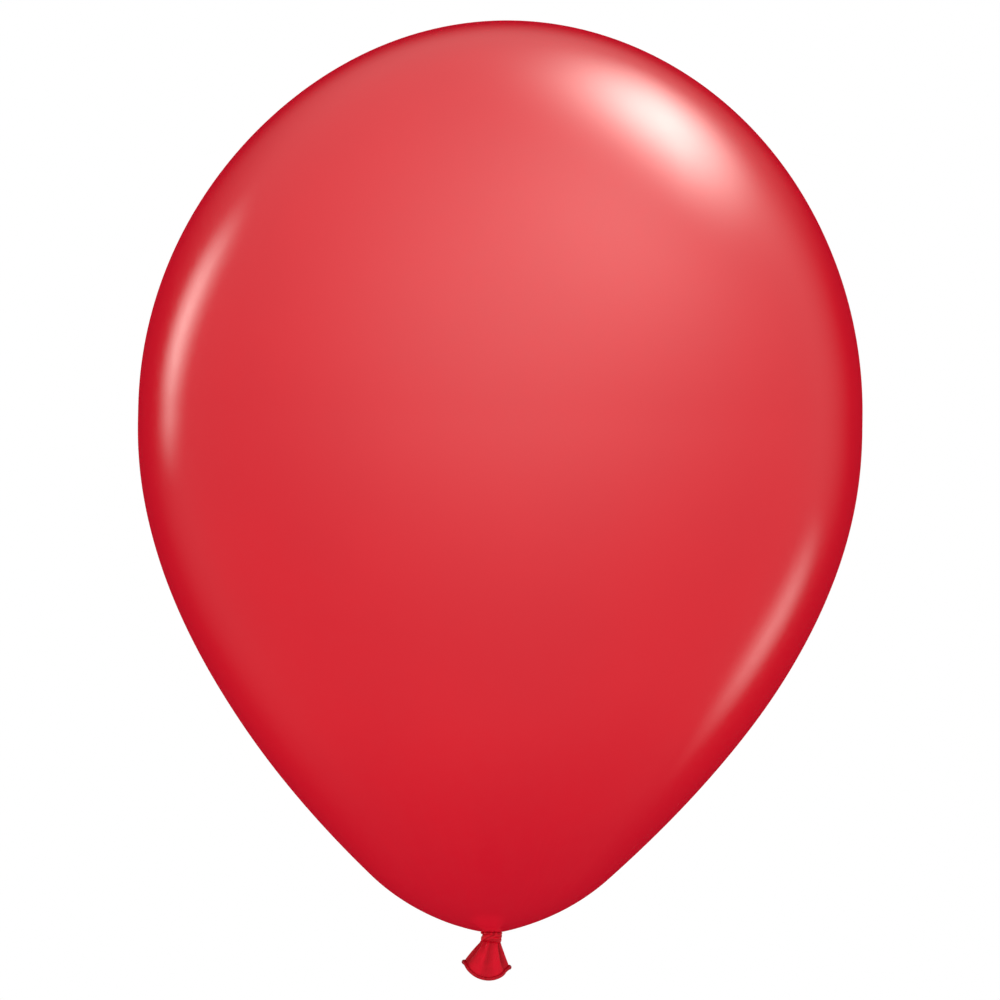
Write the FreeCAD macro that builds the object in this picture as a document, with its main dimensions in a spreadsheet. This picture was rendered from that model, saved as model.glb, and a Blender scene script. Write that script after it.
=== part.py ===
import FreeCAD, Part
import math
import os
import Sketcher

# An 11 inch latex party balloon, blown up and tied in an overhand knot.
# Millimetres.  The origin is the tie point, the middle of the short throat between
# the inflated body and the knot.  +Z runs up the axis to the crown, and +X runs to
# the right along the wide way of the flattened tail.

SIZES = {
    # inflated body, an egg outline of three cubic curves with four poles each
    "Wall": 0.3,
    "BodyRadius": 140.0,
    "UndersideHeight": 0.4,
    "EquatorHeight": 200.9,
    "CrownRise": 151.8,
    "CrownHandle": 75.6,
    "EquatorUpHandle": 82.5,
    "EquatorDownHandle": 19.6,
    "ShoulderRadius": 45.8,
    "ShoulderHeight": 21.4,
    "ShoulderAngle": 42.8,
    "FlankHandle": 133.7,
    "ShoulderHandle": 24.2,
    "ThroatHandle": 2.0,
    "ThroatRadius": 3.4,
    # throat, gathered shut where the skin runs down into the knot
    "WaistRadius": 2.5,
    "NeckDepth": 1.0,
    "FunnelDepth": 0.8,
    # overhand knot
    "KnotRadius": 3.8,
    "KnotTop": 0.3,
    "PivotDepth": 2.1,
    "RunningGap": 0.2,
    # tail, the fanned end of the nozzle below the knot
    "TailWall": 0.3,
    "TailLean": 7.8,
    "GatherDrop": 1.85,
    "FlareLength": 14.0,
    "FlareHalfWidth": 12.5,
    "FlareHalfDepth": 4.5,
    "RimCentreDrop": 6.9,
    "RimReach": 9.8,
    # rolled lip round the mouth of the tail, and how far the tail stops short of its middle
    "BeadRadius": 0.6,
    "BeadCover": 0.35,
}
RIM_POINTS = 48
BEAD_SPANS = 2
ON_AXIS = "on axis"


def make_sheet(doc):
    """Put every driving size in a spreadsheet cell of its own, under its own name."""
    sheet = doc.addObject("Spreadsheet::Sheet", "Sizes")
    for row, (alias, value) in enumerate(SIZES.items(), 1):
        sheet.set(f"A{row}", alias)
        sheet.set(f"B{row}", str(value))
        sheet.setAlias(f"B{row}", alias)
    doc.recompute()
    return sheet


class Outline:
    """A closed outline in the XZ plane of a body, with every point bound to the sheet.

    A point is a pair of expressions, its distance across and its height.  ON_AXIS in
    place of the first puts it on the upright axis, and None leaves that one free.
    """

    ORIGIN, AXIS, CENTRE, START, END = -1, -2, 3, 1, 2

    def __init__(self, body, name):
        plane = next(item for item in body.Origin.OriginFeatures if item.Role == "XZ_Plane")
        self.sketch = body.newObject("Sketcher::SketchObject", name)
        self.sketch.AttachmentSupport = [(plane, "")]
        self.sketch.MapMode = "FlatFace"

    def place(self, item, point, across, up, rough):
        """Hold one point of an item at (across, up)."""
        if across == ON_AXIS:
            self.sketch.addConstraint(
                Sketcher.Constraint("PointOnObject", item, point, self.AXIS))
        elif across is not None:
            self.bind("DistanceX", item, point, across, rough.x)
        if up is not None:
            self.bind("DistanceY", item, point, up, rough.y)

    def bind(self, kind, item, point, expression, rough):
        index = self.sketch.addConstraint(
            Sketcher.Constraint(kind, self.ORIGIN, 1, item, point, rough))
        self.sketch.setExpression(f"Constraints[{index}]", expression)

    def meet(self, first, first_end, second, second_end):
        """Make an end of one item the same point as an end of another."""
        self.sketch.addConstraint(
            Sketcher.Constraint("Coincident", first, first_end, second, second_end))

    def join(self, before, after):
        """Make the end of one item the start of the next."""
        self.meet(before, self.END, after, self.START)

    def line(self, start, end, rough):
        """Straight side.  A side of None is an end that a join already holds."""
        item = self.sketch.addGeometry(Part.LineSegment(*rough), False)
        for point, side, where in ((self.START, start, rough[0]), (self.END, end, rough[1])):
            if side is not None:
                self.place(item, point, *side, where)
        return item

    def curve(self, poles, rough):
        """Cubic curve through its first and last poles.  A pole of None is held by a join."""
        spline = Part.BSplineCurve(rough, None, None, False, len(rough) - 1, None, False)
        item = self.sketch.addGeometry(spline, False)
        first_pole = self.sketch.GeometryCount
        self.sketch.exposeInternalGeometry(item)
        for index, pole in enumerate(poles):
            if pole is not None:
                self.place(first_pole + index, self.CENTRE, *pole, rough[index])
        return item

    def arc(self, centre, radius, angles, rough_centre, rough_radius):
        """Round side about a held centre, anticlockwise between two rough angles."""
        circle = Part.Circle(rough_centre, FreeCAD.Vector(0, 0, 1), rough_radius)
        first, last = (math.radians(angle) for angle in angles)
        item = self.sketch.addGeometry(Part.ArcOfCircle(circle, first, last), False)
        self.place(item, self.CENTRE, *centre, rough_centre)
        index = self.sketch.addConstraint(Sketcher.Constraint("Radius", item, rough_radius))
        self.sketch.setExpression(f"Constraints[{index}]", radius)
        return item


def spin(body, outline, name):
    """Turn an outline once round the upright axis of its body."""
    turn = body.newObject("PartDesign::Revolution", name)
    turn.Profile = outline.sketch
    turn.ReferenceAxis = (outline.sketch, ["V_Axis"])
    turn.Angle = 360.0
    outline.sketch.Visibility = False
    return turn


def vectors(*pairs):
    """Plain points in the plane of a sketch."""
    return [FreeCAD.Vector(across, up, 0) for across, up in pairs]


def make_envelope(doc):
    """Inflated skin: egg-shaped outside and inside, open at the throat."""
    body = doc.addObject("PartDesign::Body", "envelope")
    outline = Outline(body, "SkinOutline")

    radius = "Sizes.BodyRadius"
    equator = "Sizes.EquatorHeight"
    top = "Sizes.EquatorHeight + Sizes.CrownRise"
    wall = "Sizes.Wall"
    run = "cos(Sizes.ShoulderAngle * 1 deg)"
    rise = "sin(Sizes.ShoulderAngle * 1 deg)"
    shoulder = ("Sizes.ShoulderRadius", "Sizes.ShoulderHeight")
    inner_shoulder = (f"{shoulder[0]} - {wall} * {rise}", f"{shoulder[1]} + {wall} * {run}")
    throat = ("Sizes.ThroatRadius", "Sizes.UndersideHeight")

    def along_flank(point, handle, sign):
        return (f"{point[0]} {sign} Sizes.{handle} * {run}",
                f"{point[1]} {sign} Sizes.{handle} * {rise}")

    crown_guide = vectors((0, 350), (75, 350), (140, 285), (140, 200))
    flank_guide = vectors((140, 200), (140, 180), (144, 112), (46, 21))
    throat_guide = vectors((46, 21), (28, 5), (5, 0.4), (3.4, 0.4))
    outer_crown = outline.curve([
        (ON_AXIS, top),
        ("Sizes.CrownHandle", top),
        (radius, f"{equator} + Sizes.EquatorUpHandle"),
        (radius, equator)], crown_guide)
    outer_flank = outline.curve([
        None,
        (radius, f"{equator} - Sizes.EquatorDownHandle"),
        along_flank(shoulder, "FlankHandle", "+"),
        shoulder], flank_guide)
    outer_throat = outline.curve([
        None,
        along_flank(shoulder, "ShoulderHandle", "-"),
        (f"{throat[0]} + Sizes.ThroatHandle", throat[1]),
        throat], throat_guide)
    throat_edge = outline.line(None, (throat[0], f"{throat[1]} + {wall}"),
                               vectors((3.4, 0.4), (3.4, 0.7)))
    inner_throat = outline.curve([
        None,
        (f"{throat[0]} + Sizes.ThroatHandle", f"{throat[1]} + {wall}"),
        along_flank(inner_shoulder, "ShoulderHandle", "-"),
        inner_shoulder], throat_guide[::-1])
    inner_flank = outline.curve([
        None,
        along_flank(inner_shoulder, "FlankHandle", "+"),
        (f"{radius} - {wall}", f"{equator} - Sizes.EquatorDownHandle"),
        (f"{radius} - {wall}", equator)], flank_guide[::-1])
    inner_crown = outline.curve([
        None,
        (f"{radius} - {wall}",
         f"{equator} + Sizes.EquatorUpHandle * (1 - {wall} / Sizes.CrownRise)"),
        (f"Sizes.CrownHandle * (1 - {wall} / {radius})", f"{top} - {wall}"),
        (ON_AXIS, f"{top} - {wall}")], crown_guide[::-1])
    crown_edge = outline.line(None, None, vectors((0, 349), (0, 350)))

    ring = [outer_crown, outer_flank, outer_throat, throat_edge,
            inner_throat, inner_flank, inner_crown, crown_edge]
    for before, after in zip(ring, ring[1:] + ring[:1]):
        outline.join(before, after)
    spin(body, outline, "Skin")
    return body


def make_neck(doc):
    """Throat: a plug of gathered latex, waisted where a ribbon would sit."""
    body = doc.addObject("PartDesign::Body", "neck")
    outline = Outline(body, "ThroatOutline")
    brim = "Sizes.UndersideHeight + Sizes.Wall"
    guide = vectors((0, -1), (2.5, -1), (2.5, 0), (3.4, 0.4), (3.4, 0.7), (0, -0.1))
    floor = outline.line((ON_AXIS, "-Sizes.NeckDepth"), ("Sizes.WaistRadius", "-Sizes.NeckDepth"),
                         guide[0:2])
    stem = outline.line(None, ("Sizes.WaistRadius", "0"), guide[1:3])
    flare = outline.line(None, ("Sizes.ThroatRadius", "Sizes.UndersideHeight"), guide[2:4])
    edge = outline.line(None, ("Sizes.ThroatRadius", brim), guide[3:5])
    funnel = outline.line(None, (ON_AXIS, f"{brim} - Sizes.FunnelDepth"), guide[4:6])
    axis = outline.line(None, None, [guide[5], guide[0]])
    ring = [floor, stem, flare, edge, funnel, axis]
    for before, after in zip(ring, ring[1:] + ring[:1]):
        outline.join(before, after)
    spin(body, outline, "Throat")
    return body


def make_knot(doc):
    """Overhand knot: a ball about the tail's pivot, with a dimple for the throat."""
    body = doc.addObject("PartDesign::Body", "knot")
    outline = Outline(body, "KnotOutline")
    dimple = "Sizes.WaistRadius + Sizes.RunningGap"
    dimple_floor = "-Sizes.NeckDepth - Sizes.RunningGap"
    guide = vectors((0, -1.2), (2.7, -1.2), (2.7, -0.3), (3.4, -0.3), (0, -5.9))
    floor = outline.line((ON_AXIS, dimple_floor), (dimple, dimple_floor), guide[0:2])
    wall = outline.line(None, (dimple, "-Sizes.KnotTop"), guide[1:3])
    brim = outline.line(None, (None, "-Sizes.KnotTop"), guide[2:4])
    axis = outline.line((ON_AXIS, None), None, [guide[4], guide[0]])
    ball = outline.arc((ON_AXIS, "-Sizes.PivotDepth"), "Sizes.KnotRadius", (-90, 28),
                       FreeCAD.Vector(0, -2.1, 0), 3.8)
    for before, after in ((axis, floor), (floor, wall), (wall, brim)):
        outline.join(before, after)
    outline.meet(brim, outline.END, ball, outline.END)
    outline.meet(axis, outline.START, ball, outline.START)
    spin(body, outline, "Ball")
    return body


def set_tail_frame(item, sheet):
    """Hang a piece from the pivot at the knot's middle, leaning a little to one side."""
    item.Placement = FreeCAD.Placement(
        FreeCAD.Vector(0, 0, -sheet.PivotDepth),
        FreeCAD.Rotation(FreeCAD.Vector(0, 1, 0), sheet.TailLean))


def rim_centre_line(sheet):
    """Points where the middle of the tail's wall meets the ball that sets its length."""
    seat = math.sqrt((sheet.KnotRadius + sheet.RunningGap) ** 2 - sheet.GatherDrop ** 2)
    gather = seat + sheet.TailWall
    start = gather - sheet.TailWall / 2
    wide = (sheet.FlareHalfWidth - gather) / sheet.FlareLength
    deep = (sheet.FlareHalfDepth - gather) / sheet.FlareLength
    centre = sheet.RimCentreDrop - sheet.GatherDrop
    reach = sheet.RimReach - sheet.BeadRadius
    points = []
    for index in range(RIM_POINTS):
        turn = math.tau * index / RIM_POINTS
        cos2 = math.cos(turn) ** 2
        sin2 = math.sin(turn) ** 2
        square = 1 + wide ** 2 * cos2 + deep ** 2 * sin2
        half = start * (wide * cos2 + deep * sin2) - centre
        rest = start ** 2 + centre ** 2 - reach ** 2
        down = (-half + math.sqrt(half ** 2 - square * rest)) / square
        points.append(FreeCAD.Vector((start + wide * down) * math.cos(turn),
                                     (start + deep * down) * math.sin(turn),
                                     -sheet.GatherDrop - down))
    return points


def make_lip_bead(doc, sheet):
    """Rolled lip: a round bead that follows the curved rim of the tail."""
    rim = Part.BSplineCurve()
    rim.interpolate(rim_centre_line(sheet), True)
    spans = []
    for index in range(BEAD_SPANS):
        start = rim.LastParameter * index / BEAD_SPANS
        end = rim.LastParameter * (index + 1) / BEAD_SPANS
        section = Part.Circle(rim.value(start), rim.tangent(start)[0], sheet.BeadRadius)
        path = Part.Wire(rim.toShape(start, end))
        spans.append(path.makePipeShell([Part.Wire(section.toShape())], True, True))
    bead = doc.addObject("Part::Feature", "lip_bead")
    bead.Shape = spans[0].multiFuse(spans[1:]).Solids[0]
    set_tail_frame(bead, sheet)
    return bead


def make_flare(doc, name, wall):
    """Cone from the round gather under the knot to the wide, shallow mouth."""
    seat = "sqrt((Sizes.KnotRadius + Sizes.RunningGap)^2 - Sizes.GatherDrop^2)"
    gather = f"{seat} + Sizes.TailWall - {wall}"
    places = {
        "Gather": ("Sizes.GatherDrop", gather, gather),
        "Mouth": ("Sizes.GatherDrop + Sizes.FlareLength",
                  f"Sizes.FlareHalfWidth - {wall}", f"Sizes.FlareHalfDepth - {wall}"),
    }
    sections = []
    for place, (drop, half_width, half_depth) in places.items():
        section = doc.addObject("Part::Ellipse", name + place)
        section.setExpression("MajorRadius", half_width)
        section.setExpression("MinorRadius", half_depth)
        section.setExpression("Placement.Base.z", f"-({drop})")
        sections.append(section)
    flare = doc.addObject("Part::Loft", name)
    flare.Sections = sections
    flare.Solid = True
    flare.Ruled = True
    return flare


def make_tail(doc, sheet):
    """Tail: thin fanned funnel that rocks round the knot and runs into the lip bead."""
    hollow = doc.addObject("Part::Cut", "HollowFlare")
    hollow.Base = make_flare(doc, "OuterFlare", "0")
    hollow.Tool = make_flare(doc, "InnerFlare", "Sizes.TailWall")

    rim_ball = doc.addObject("Part::Sphere", "RimBall")
    rim_ball.setExpression("Radius", "Sizes.RimReach - Sizes.BeadRadius - Sizes.BeadCover")
    rim_ball.setExpression("Placement.Base.z", "-Sizes.RimCentreDrop")
    tail = doc.addObject("Part::Common", "tail")
    tail.Base = hollow
    tail.Tool = rim_ball
    doc.recompute()
    set_tail_frame(tail, sheet)
    return tail


def check(doc, pieces):
    """Stop if any object failed or any piece is not one sound solid."""
    for item in doc.Objects:
        if {"Invalid", "Error"} & set(item.State):
            raise RuntimeError(f"{item.Name} did not build: {item.State}")
    for piece in pieces:
        shape = piece.Shape
        if shape.isNull() or not shape.isValid() or len(shape.Solids) != 1:
            raise RuntimeError(f"{piece.Name} is not one valid solid")
        box = shape.BoundBox
        print(f"{piece.Name}: {shape.Volume:.1f} mm3, x {box.XMin:.2f} to {box.XMax:.2f}, "
              f"y {box.YMin:.2f} to {box.YMax:.2f}, z {box.ZMin:.2f} to {box.ZMax:.2f}")


def main():
    """Build the balloon and write each of its pieces."""
    doc = FreeCAD.newDocument("Balloon")
    sheet = make_sheet(doc)
    pieces = [make_envelope(doc), make_neck(doc), make_knot(doc),
              make_tail(doc, sheet), make_lip_bead(doc, sheet)]
    doc.recompute()
    check(doc, pieces)
    os.makedirs("parts", exist_ok=True)
    for piece in pieces:
        piece.Label = piece.Name
        piece.Shape.exportStep(f"parts/{piece.Name}.step")


main()
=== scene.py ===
"""A red latex party balloon, blown up and tied: skin, throat, overhand knot, tail and rolled lip.

Each sub-assembly is a class that holds its sizes in millimetres and builds its own mesh round the
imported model's bodies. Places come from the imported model's boxes. Each finish is a small class too.
"""

import logging
import math
from dataclasses import dataclass
from enum import Enum

import bmesh
import bpy
import numpy as np
from mathutils import Matrix, Vector

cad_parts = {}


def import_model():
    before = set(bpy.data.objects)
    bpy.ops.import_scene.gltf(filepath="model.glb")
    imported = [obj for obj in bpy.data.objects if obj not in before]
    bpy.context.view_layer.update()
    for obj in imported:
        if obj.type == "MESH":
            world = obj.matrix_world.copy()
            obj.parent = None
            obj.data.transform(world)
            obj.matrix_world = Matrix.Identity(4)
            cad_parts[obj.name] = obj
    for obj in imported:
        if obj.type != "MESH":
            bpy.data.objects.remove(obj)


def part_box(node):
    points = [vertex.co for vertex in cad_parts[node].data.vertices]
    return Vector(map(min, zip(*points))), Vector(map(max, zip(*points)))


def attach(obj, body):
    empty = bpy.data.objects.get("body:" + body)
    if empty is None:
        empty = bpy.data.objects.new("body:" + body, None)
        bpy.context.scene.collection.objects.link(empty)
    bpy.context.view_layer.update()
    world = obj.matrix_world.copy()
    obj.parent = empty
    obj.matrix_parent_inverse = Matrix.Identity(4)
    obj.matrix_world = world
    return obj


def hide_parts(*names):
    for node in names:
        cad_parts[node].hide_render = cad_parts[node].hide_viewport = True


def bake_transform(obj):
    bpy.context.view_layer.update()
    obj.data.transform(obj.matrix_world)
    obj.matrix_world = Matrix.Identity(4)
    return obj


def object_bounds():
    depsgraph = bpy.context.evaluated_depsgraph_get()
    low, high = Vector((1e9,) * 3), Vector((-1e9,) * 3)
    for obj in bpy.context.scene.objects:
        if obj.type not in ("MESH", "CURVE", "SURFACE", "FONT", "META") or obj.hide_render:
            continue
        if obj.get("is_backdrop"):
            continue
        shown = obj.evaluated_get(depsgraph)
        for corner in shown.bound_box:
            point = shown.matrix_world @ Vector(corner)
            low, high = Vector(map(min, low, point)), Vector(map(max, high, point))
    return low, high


LOG = logging.getLogger("balloon")

MM = 0.001
FULL_TURN = 2.0 * math.pi
# Mesh mask that deepens the red: partly doubled film in folds, partly painted shade in valleys, at the tail's
# sides and at the lip's corners.
FOLD_AND_SHADE = "fold_and_shade"

Colour = tuple[float, float, float]
Station = tuple[float, float, float]
Point = tuple[float, float]
Wave = tuple[int, float, float]


class Body(Enum):
    """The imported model's moving bodies."""

    BALLOON = "balloon"
    KNOT = "knot"
    TAIL = "tail"


class Piece(Enum):
    """Each piece's name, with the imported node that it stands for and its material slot."""

    SKIN = ("balloon_skin", "envelope", "stretched_latex")
    THROAT = ("throat_gathers", "neck", "gathered_latex")
    KNOT = ("overhand_knot", "knot", "gathered_latex")
    TAIL = ("tail_fan", "tail", "relaxed_latex")
    LIP = ("rolled_lip", "lip_bead", "rolled_latex")

    @property
    def label(self) -> str:
        """The piece's own name."""
        return self.value[0]

    @property
    def node(self) -> str:
        """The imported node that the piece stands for."""
        return self.value[1]

    @property
    def slot(self) -> str:
        """The record's material slot."""
        return self.value[2]


# Curves and meshes


def smooth_step(low: float, high: float, value: np.ndarray) -> np.ndarray:
    """Rises smoothly from 0 at low to 1 at high, or falls where low is above high."""
    share = np.clip((value - low) / (high - low), 0.0, 1.0)
    return share * share * (3.0 - 2.0 * share)


def bezier(points: list[Point], count: int) -> np.ndarray:
    """Points along one cubic curve.

    Args:
        points: the two ends with the two handles between them.
        count: how many points to put out.

    Returns:
        The points, one row each.
    """
    start, first, second, end = (np.array(p, float) for p in points)
    t = np.linspace(0.0, 1.0, count)[:, None]
    s = 1.0 - t
    return s**3 * start + 3 * s * s * t * first + 3 * s * t * t * second + t**3 * end


def through(stations: tuple[Point | Station, ...], count: int) -> np.ndarray:
    """A smooth line through stations, with a short run past each end copied from its neighbour.

    Args:
        stations: the places that the line passes, in order, each of two or three numbers.
        count: how many points to put out.

    Returns:
        The points, one row each.
    """
    given = np.array(stations, float)
    padded = np.vstack([2 * given[0] - given[1], given, 2 * given[-1] - given[-2]])
    where = np.linspace(0.0, len(given) - 1.0, count)
    span = np.minimum(where.astype(int), len(given) - 2)
    t = (where - span)[:, None]
    before, start, end, after = (padded[span + k] for k in range(4))
    return 0.5 * (
        2 * start
        + (end - before) * t
        + (2 * before - 5 * start + 4 * end - after) * t * t
        + (3 * start - before - 3 * end + after) * t**3
    )


def waves(terms: tuple[Wave, ...], angle: np.ndarray) -> np.ndarray:
    """Adds up waves, each given as its count in a turn, its height and its phase in radians."""
    return sum(size * np.sin(count * angle + phase) for count, size, phase in terms)


def turn_angles(count: int) -> np.ndarray:
    """Evenly spaced angles round a full turn."""
    return np.arange(count) * (FULL_TURN / count)


def round_rings(radius: np.ndarray, angle: np.ndarray, height: np.ndarray) -> np.ndarray:
    """Points round the upright axis, for each radius, angle and height spread over one another."""
    points = np.broadcast_arrays(radius * np.cos(angle), radius * np.sin(angle), height)
    return np.stack(points, axis=-1)


def add_surface(
    name: str, rows: np.ndarray, fold_and_shade: np.ndarray, wraps: bool = False
) -> bpy.types.Object:
    """Makes a smooth mesh from rows of points, where each row is a closed ring.

    Args:
        name: the object's name.
        rows: ring by ring, the points in millimetres. The rings run down the outside.
        fold_and_shade: a mask from 0 on a ridge to 1 in a valley, with painted shade added at the tail's
            sides and the lip's corners; the finishes deepen the red with it, partly for doubled film.
        wraps: the last ring joins the first one, as in a tube with a wall.

    Returns:
        The new object, linked to the scene.
    """
    rings, sides, _ = rows.shape
    upper = np.arange(rings if wraps else rings - 1)
    lower = (upper + 1) % rings
    here = np.arange(sides)
    beside = (here + 1) % sides
    quads = [
        upper[:, None] * sides + here,
        lower[:, None] * sides + here,
        lower[:, None] * sides + beside,
        upper[:, None] * sides + beside,
    ]
    faces = np.stack(quads, axis=-1).reshape(-1, 4)
    mesh = bpy.data.meshes.new(name)
    mesh.from_pydata((rows.reshape(-1, 3) * MM).tolist(), [], faces.tolist())
    depth = mesh.attributes.new(FOLD_AND_SHADE, "FLOAT", "POINT")
    depth.data.foreach_set("value", np.clip(fold_and_shade, 0.0, 1.0).astype(np.float32).ravel())
    clean = bmesh.new()
    clean.from_mesh(mesh)
    bmesh.ops.remove_doubles(clean, verts=clean.verts, dist=1e-4 * MM)
    bmesh.ops.dissolve_degenerate(clean, edges=clean.edges, dist=1e-5 * MM)
    clean.to_mesh(mesh)
    clean.free()
    mesh.shade_smooth()
    obj = bpy.data.objects.new(name, mesh)
    bpy.context.scene.collection.objects.link(obj)
    return obj


def walled(outer: np.ndarray, inner: np.ndarray) -> np.ndarray:
    """Joins an outer and an inner run of rings into one run, down the outside and back up inside."""
    return np.concatenate([outer, inner[::-1]])


def sweep(line: np.ndarray, sizes: np.ndarray) -> np.ndarray:
    """Carries a round section along an open line without twisting it.

    Args:
        line: the centre line's points.
        sizes: each section's radius at each station and angle.

    Returns:
        The rings of points, one per station.
    """
    tangent = np.gradient(line, axis=0)
    tangent /= np.linalg.norm(tangent, axis=1)[:, None]
    side = np.cross(tangent[0], (0.0, 0.0, 1.0)) + np.array((1e-6, 0.0, 0.0))
    sides = []
    for direction in tangent:
        side = side - direction * (side @ direction)
        side = side / np.linalg.norm(side)
        sides.append(side)
    across = np.array(sides)
    normal = np.cross(tangent, across)
    angle = turn_angles(sizes.shape[1])
    ring = (
        across[:, None, :] * np.cos(angle)[None, :, None]
        + normal[:, None, :] * np.sin(angle)[None, :, None]
    )
    return line[:, None, :] + ring * sizes[:, :, None]


def settle(piece: Piece, obj: bpy.types.Object, material: bpy.types.Material) -> None:
    """Gives a piece its finish and hides the imported node that it stands for.

    Args:
        piece: which piece it is.
        obj: the piece's object.
        material: its finish.
    """
    obj.data.materials.clear()
    obj.data.materials.append(material)
    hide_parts(piece.node)
    LOG.info("%s: %d faces, %s", obj.name, len(obj.data.polygons), material.name)


# Shading


class Graph:
    """A node tree being wired, with a short call for each kind of node that the finishes use."""

    def __init__(self, tree: bpy.types.NodeTree) -> None:
        """Takes the tree to wire."""
        self.tree = tree

    def add(self, kind: str, **settings: object) -> bpy.types.Node:
        """Adds a node.

        Args:
            kind: the node's type name.
            **settings: values for the node's own properties.

        Returns:
            The new node.
        """
        node = self.tree.nodes.new(kind)
        for key, value in settings.items():
            setattr(node, key, value)
        return node

    def feed(self, socket: bpy.types.NodeSocket, value: object) -> None:
        """Links a socket to another one, or sets it to a plain value."""
        if isinstance(value, bpy.types.NodeSocket):
            self.tree.links.new(value, socket)
        else:
            socket.default_value = value

    def maths(self, operation: str, *values: object, clamp: bool = False) -> bpy.types.NodeSocket:
        """Works out a number.

        Args:
            operation: the Math node's operation.
            *values: its inputs, each a socket or a number.
            clamp: keep the result between 0 and 1.

        Returns:
            The result's socket.
        """
        node = self.add("ShaderNodeMath", operation=operation, use_clamp=clamp)
        for socket, value in zip(node.inputs, values):
            self.feed(socket, value)
        return node.outputs[0]

    def vector(self, operation: str, *values: object) -> bpy.types.Node:
        """Adds a Vector Math node with its inputs fed."""
        node = self.add("ShaderNodeVectorMath", operation=operation)
        for socket, value in zip(node.inputs, values):
            self.feed(socket, value)
        return node

    def dot(self, way: bpy.types.NodeSocket, toward: Vector) -> bpy.types.NodeSocket:
        """How far a direction points towards another one, from -1 to 1."""
        return self.vector("DOT_PRODUCT", way, tuple(toward)).outputs["Value"]

    def ramp(
        self, value: object, low: float, high: float, start: float = 0.0, end: float = 1.0
    ) -> bpy.types.NodeSocket:
        """Turns a range of numbers smoothly into another one.

        Args:
            value: the number to look up.
            low: where the change starts.
            high: where the change ends.
            start: the result up to low.
            end: the result from high on.

        Returns:
            The result's socket.
        """
        node = self.add("ShaderNodeMapRange", interpolation_type="SMOOTHSTEP")
        names = ("Value", "From Min", "From Max", "To Min", "To Max")
        for name, given in zip(names, (value, low, high, start, end)):
            self.feed(node.inputs[name], given)
        return node.outputs["Result"]

    def blend(self, share: object, first: object, second: object) -> bpy.types.NodeSocket:
        """Mixes two colours.

        Args:
            share: how much of the second colour, from 0 to 1.
            first: a colour or a socket.
            second: a colour or a socket.

        Returns:
            The mixed colour's socket.
        """
        node = self.add("ShaderNodeMix", data_type="RGBA")
        self.feed(node.inputs["Factor"], share)
        for name, given in (("A", first), ("B", second)):
            socket = next(s for s in node.inputs if s.name == name and s.type == "RGBA")
            self.feed(socket, (*given, 1.0) if isinstance(given, tuple) else given)
        return next(s for s in node.outputs if s.type == "RGBA")

    def noise(self, place: object, scale: object, detail: float) -> bpy.types.NodeSocket:
        """Adds a noise texture and returns its value's socket."""
        node = self.add("ShaderNodeTexNoise", noise_dimensions="3D")
        self.feed(node.inputs["Vector"], place)
        self.feed(node.inputs["Scale"], scale)
        self.feed(node.inputs["Detail"], detail)
        return node.outputs["Fac"]

    def group(self, tree: bpy.types.NodeTree, **values: object) -> bpy.types.Node:
        """Places a shader group with its inputs fed by name, spaces written as underscores."""
        node = self.add("ShaderNodeGroup", node_tree=tree)
        for key, value in values.items():
            self.feed(node.inputs[key.replace("_", " ")], value)
        return node


def new_material(name: str) -> tuple[bpy.types.Material, Graph]:
    """Starts a material with an empty node tree."""
    material = bpy.data.materials.new(name)
    material.use_nodes = True
    material.node_tree.nodes.clear()
    return material, Graph(material.node_tree)


def new_group(
    name: str, inputs: dict[str, str], outputs: dict[str, str]
) -> tuple[Graph, bpy.types.Node, bpy.types.Node]:
    """Starts a shader node group.

    Args:
        name: the group's name.
        inputs: the socket type of each named input.
        outputs: the socket type of each named output.

    Returns:
        The group's graph, its input node and its output node.
    """
    tree = bpy.data.node_groups.new(name, "ShaderNodeTree")
    for names, way in ((inputs, "INPUT"), (outputs, "OUTPUT")):
        for label, kind in names.items():
            tree.interface.new_socket(name=label, in_out=way, socket_type=kind)
    graph = Graph(tree)
    return graph, graph.add("NodeGroupInput"), graph.add("NodeGroupOutput")


def film_cloud_group() -> bpy.types.NodeTree:
    """The film's unevenness from dipping: broad clouds of thicker and thinner film, with a fine grain.

    Returns:
        The node group.
    """
    graph, given, made = new_group(
        "film_clouds",
        {"Place": "NodeSocketVector", "Scale": "NodeSocketFloat", "Grain": "NodeSocketFloat"},
        {"Cloud": "NodeSocketFloat", "Grain": "NodeSocketFloat"},
    )
    cloud = graph.noise(given.outputs["Place"], given.outputs["Scale"], 3.0)
    grain = graph.noise(given.outputs["Place"], given.outputs["Grain"], 2.0)
    graph.feed(made.inputs["Cloud"], graph.ramp(cloud, 0.3, 0.7))
    graph.feed(made.inputs["Grain"], grain)
    return graph.tree


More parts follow.
